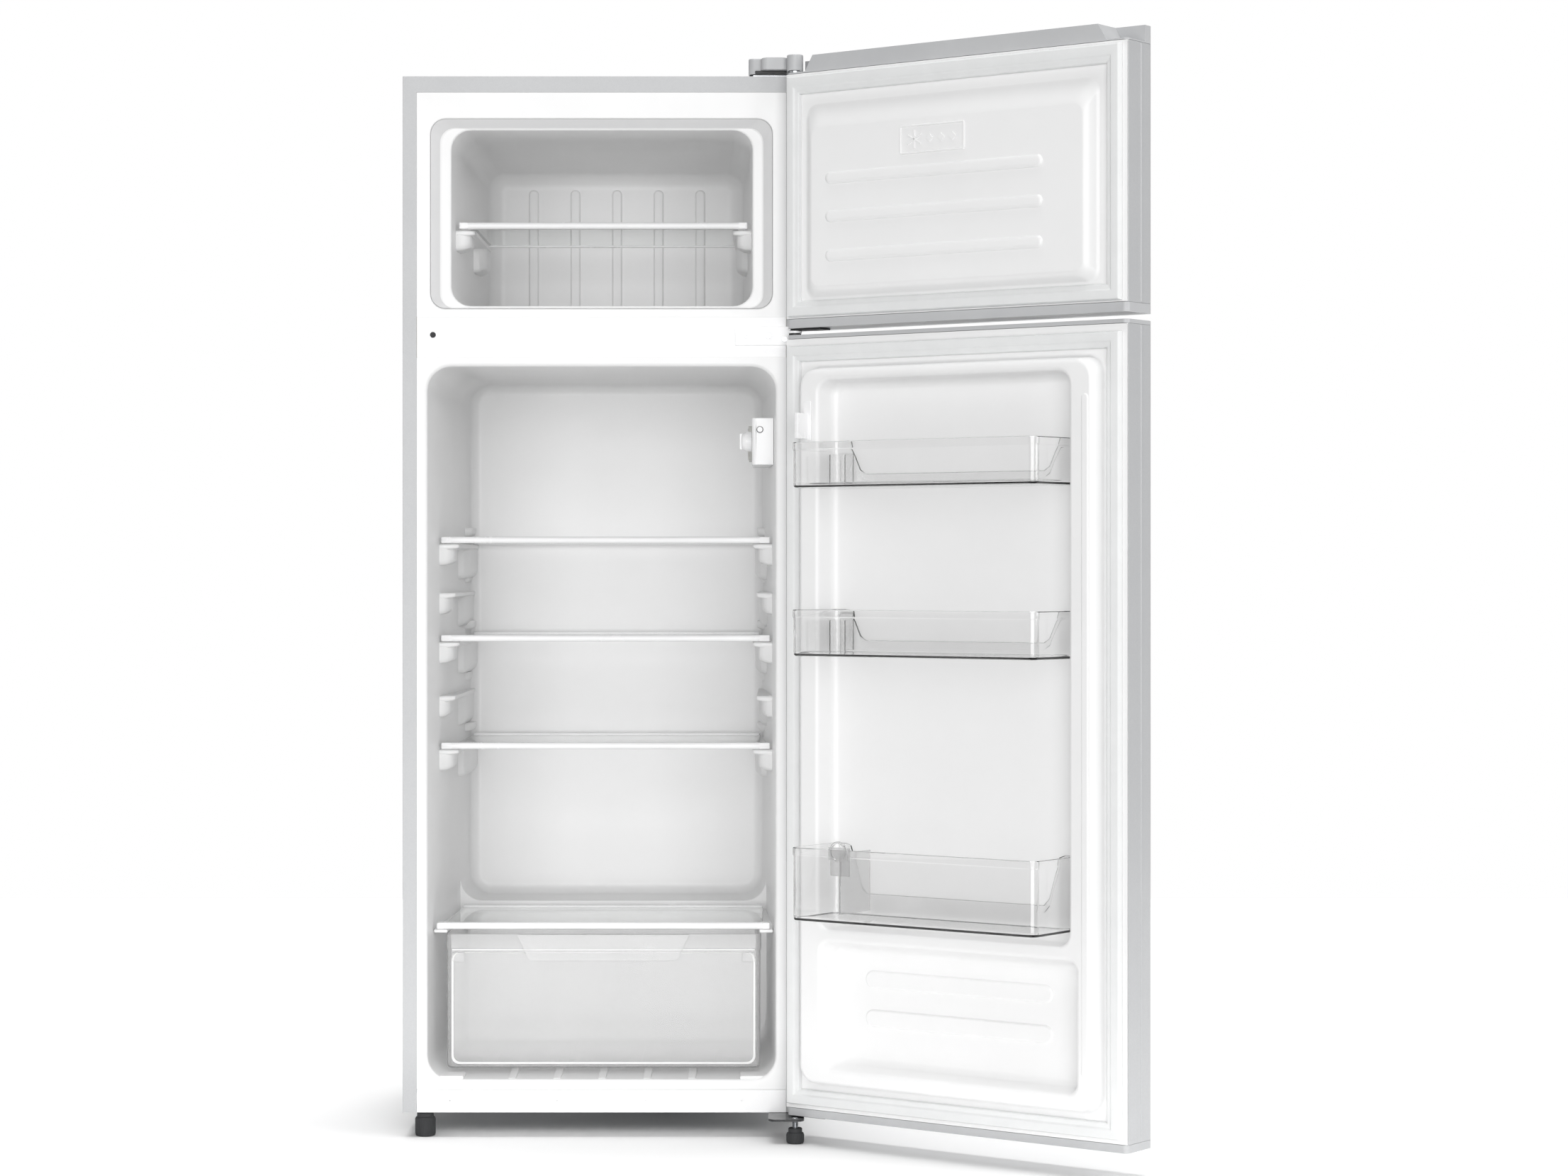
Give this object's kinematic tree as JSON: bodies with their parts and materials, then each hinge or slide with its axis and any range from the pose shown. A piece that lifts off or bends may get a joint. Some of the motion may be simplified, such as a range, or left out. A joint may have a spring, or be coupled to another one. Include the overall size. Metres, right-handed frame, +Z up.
{
  "type": "top freezer refrigerator",
  "caption": "Silver-grey free-standing refrigerator with a freezer above, hinged doors standing open, glass shelves, clear door balconies and a crisper drawer.",
  "frame": {"origin": "where the front left levelling foot meets the floor, on the foot's axis", "axes": "+X to the right as seen by someone facing the open cabinet, +Y from the doors to the back, +Z up"},
  "size_m": [0.9808, 0.877, 1.461],
  "materials": {
    "silver_steel": "satin",
    "white_liner": "satin",
    "white_trim": "gloss",
    "grey_plastic": "satin",
    "gasket": "matte",
    "tempered_glass": "polished",
    "clear_plastic": "gloss",
    "black_rubber": "matte",
    "zinc_steel": "satin",
    "black_steel": "satin",
    "copper": "satin",
    "foam": "matte"
  },
  "bodies": {
    "cabinet": {"case_wrapper": "silver_steel", "back_panel": "zinc_steel", "stepped_deck": "zinc_steel", "front_rail": "white_trim", "compressor_tray": "zinc_steel", "mullion_strip": "white_trim", "mullion_plug": "black_rubber", "fridge_liner": "white_liner", "freezer_liner": "white_liner", "cabinet_foam": "foam", "top_hinge": "zinc_steel", "top_hinge_cover": "grey_plastic", "middle_hinge": "white_trim", "bottom_hinge": "black_steel", "rear_roller_bracket_left": "zinc_steel", "rear_roller_bracket_right": "zinc_steel", "thermostat_housing": "white_trim", "lamp_bulb": "tempered_glass", "lamp_cover": "clear_plastic", "compressor": "black_steel", "compressor_mount": "black_rubber", "terminal_box": "black_rubber", "drip_tray": "black_rubber", "condenser": "black_steel", "filter_drier": "copper", "discharge_pipe": "copper"},
    "freezer_door": {"freezer_door_skin": "silver_steel", "freezer_door_liner": "white_liner", "freezer_door_foam": "foam", "freezer_door_bottom_cap": "grey_plastic", "freezer_door_top_cap": "grey_plastic", "freezer_door_gasket": "gasket"},
    "fridge_door": {"fridge_door_skin": "silver_steel", "fridge_door_liner": "white_liner", "fridge_door_foam": "foam", "fridge_door_bottom_cap": "grey_plastic", "fridge_door_top_cap": "grey_plastic", "fridge_door_gasket": "gasket", "switch_striker": "white_trim"},
    "balcony_1": {"door_balcony_1": "clear_plastic"},
    "balcony_2": {"door_balcony_2": "clear_plastic"},
    "balcony_3": {"door_balcony_3": "clear_plastic"},
    "divider": {"bottle_divider": "clear_plastic"},
    "crisper": {"crisper_drawer": "clear_plastic"},
    "crisper_cover": {"crisper_cover_glass": "tempered_glass", "crisper_cover_trim": "white_trim"},
    "shelf_1": {"shelf_1_glass": "tempered_glass", "shelf_1_trim": "white_trim"},
    "shelf_2": {"shelf_2_glass": "tempered_glass", "shelf_2_trim": "white_trim"},
    "shelf_3": {"shelf_3_glass": "tempered_glass", "shelf_3_trim": "white_trim"},
    "freezer_shelf": {"freezer_shelf_glass": "tempered_glass", "freezer_shelf_trim": "white_trim"},
    "thermostat_dial": {"thermostat_knob": "white_trim"},
    "switch_plunger": {"lamp_switch": "white_trim"},
    "left_foot": {"front_left_foot": "black_rubber"},
    "right_foot": {"front_right_foot": "black_rubber"},
    "left_roller": {"rear_roller_left": "black_rubber"},
    "right_roller": {"rear_roller_right": "black_rubber"}
  },
  "joints": [
    {"name": "freezer_door_hinge", "type": "hinge", "parent": "cabinet", "child": "freezer_door", "pos_m": [0.502, -0.04, 1.26], "axis": [0, 0, 1], "range_deg": [-143.5, 0]},
    {"name": "fridge_door_hinge", "type": "hinge", "parent": "cabinet", "child": "fridge_door", "pos_m": [0.502, -0.04, 0.56], "axis": [0, 0, 1], "range_deg": [-143.5, 0]},
    {"name": "balcony_1_lift", "type": "slide", "parent": "fridge_door", "child": "balcony_1", "axis": [0, 0, 1], "range_m": [0, 0.03]},
    {"name": "balcony_2_lift", "type": "slide", "parent": "fridge_door", "child": "balcony_2", "axis": [0, 0, 1], "range_m": [0, 0.03]},
    {"name": "balcony_3_lift", "type": "slide", "parent": "fridge_door", "child": "balcony_3", "axis": [0, 0, 1], "range_m": [0, 0.03]},
    {"name": "divider_slide", "type": "slide", "parent": "balcony_3", "child": "divider", "axis": [0.8039, -0.5948, 0], "range_m": [-0.055, 0.27]},
    {"name": "crisper_slide", "type": "slide", "parent": "cabinet", "child": "crisper", "axis": [0, -1, 0], "range_m": [0, 0.25]},
    {"name": "crisper_cover_slide", "type": "slide", "parent": "cabinet", "child": "crisper_cover", "axis": [0, -1, 0], "range_m": [0, 0.25]},
    {"name": "shelf_1_slide", "type": "slide", "parent": "cabinet", "child": "shelf_1", "axis": [0, -1, 0], "range_m": [0, 0.3]},
    {"name": "shelf_2_slide", "type": "slide", "parent": "cabinet", "child": "shelf_2", "axis": [0, -1, 0], "range_m": [0, 0.3]},
    {"name": "shelf_3_slide", "type": "slide", "parent": "cabinet", "child": "shelf_3", "axis": [0, -1, 0], "range_m": [0, 0.3]},
    {"name": "freezer_shelf_slide", "type": "slide", "parent": "cabinet", "child": "freezer_shelf", "axis": [0, -1, 0], "range_m": [0, 0.26]},
    {"name": "thermostat_turn", "type": "hinge", "parent": "cabinet", "child": "thermostat_dial", "pos_m": [0.443, 0.074, 0.945], "axis": [-1, 0, 0], "range_deg": [-150, 150]},
    {"name": "lamp_switch_press", "type": "slide", "parent": "cabinet", "child": "switch_plunger", "axis": [0, 1, 0], "range_m": [0, 0.005], "stiffness_N_per_m": 150, "springref_m": -0.002},
    {"name": "left_foot_screw", "type": "hinge", "parent": "cabinet", "child": "left_foot", "pos_m": [0, 0, 0.02], "axis": [0, 0, 1], "continuous": true},
    {"name": "right_foot_screw", "type": "hinge", "parent": "cabinet", "child": "right_foot", "pos_m": [0.502, -0.065, 0.02], "axis": [0, 0, 1], "continuous": true},
    {"name": "left_roller_turn", "type": "hinge", "parent": "cabinet", "child": "left_roller", "pos_m": [0.002, 0.434, 0.016], "axis": [1, 0, 0], "continuous": true},
    {"name": "right_roller_turn", "type": "hinge", "parent": "cabinet", "child": "right_roller", "pos_m": [0.478, 0.434, 0.016], "axis": [1, 0, 0], "continuous": true}
  ]
}
